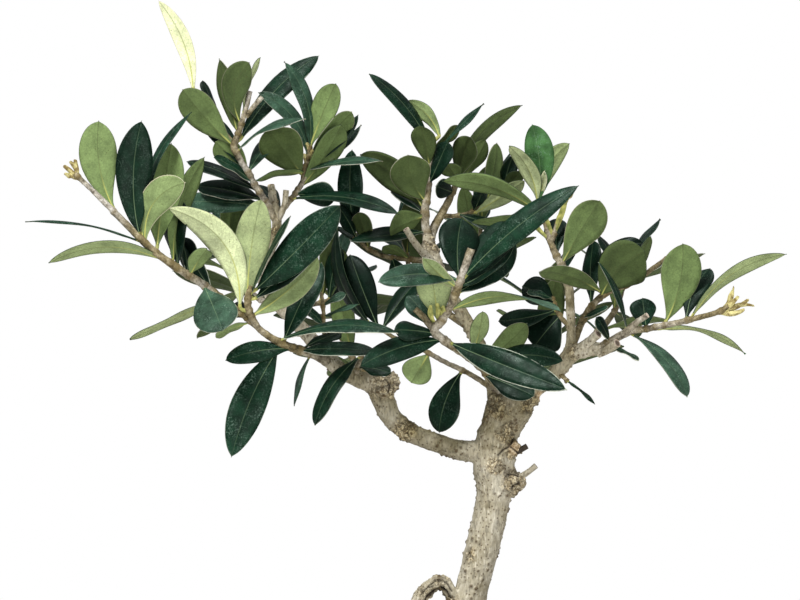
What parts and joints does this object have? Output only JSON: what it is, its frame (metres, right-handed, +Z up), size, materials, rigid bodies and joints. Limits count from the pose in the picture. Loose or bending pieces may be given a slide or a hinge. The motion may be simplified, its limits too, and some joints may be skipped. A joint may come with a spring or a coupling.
{
  "type": "olive bonsai",
  "caption": "Small olive tree grown as a bonsai, with a leaning trunk, a long left limb, an arching root and leathery leaves, in a plain rounded rectangular clay tray",
  "frame": {"origin": "middle of the whole object's outline seen from above, on the surface that the pot's feet stand on", "axes": "+Z up along the tree's height, +X to the right seen from the front, -Y towards the front"},
  "size_m": [0.3036, 0.142, 0.308],
  "materials": {
    "clay": "unglazed fired clay, matt and slightly gritty",
    "mesh_plastic": "moulded plastic mesh, dull",
    "soil": "loose granular bonsai soil, dry and matt",
    "bark": "smooth grey-beige bark with small raised pores, matt",
    "foliage": "leathery leaves, dark and glossy above, pale and matt below"
  },
  "bodies": {
    "root": {"pot": "clay", "drain_mesh_left": "mesh_plastic", "drain_mesh_right": "mesh_plastic", "soil": "soil", "trunk_and_limbs": "bark", "limb_end_spray": "foliage", "far_left_spray": "foliage", "left_upright_spray": "foliage", "thin_shoot": "foliage", "low_left_spray": "foliage", "left_riser_spray": "foliage", "upper_left_spray": "foliage", "upper_middle_spray": "foliage", "middle_left_spray": "foliage", "side_twig_spray": "foliage", "middle_right_spray": "foliage", "middle_front_spray": "foliage", "low_middle_spray": "foliage", "right_riser_spray": "foliage", "right_knee_spray": "foliage", "right_low_leaf": "foliage", "right_back_spray": "foliage", "right_end_spray": "foliage", "back_far_left_spray": "foliage", "back_left_spray": "foliage", "back_middle_left_spray": "foliage", "back_middle_right_spray": "foliage", "back_middle_spray": "foliage", "back_right_spray": "foliage"}
  },
  "joints": []
}
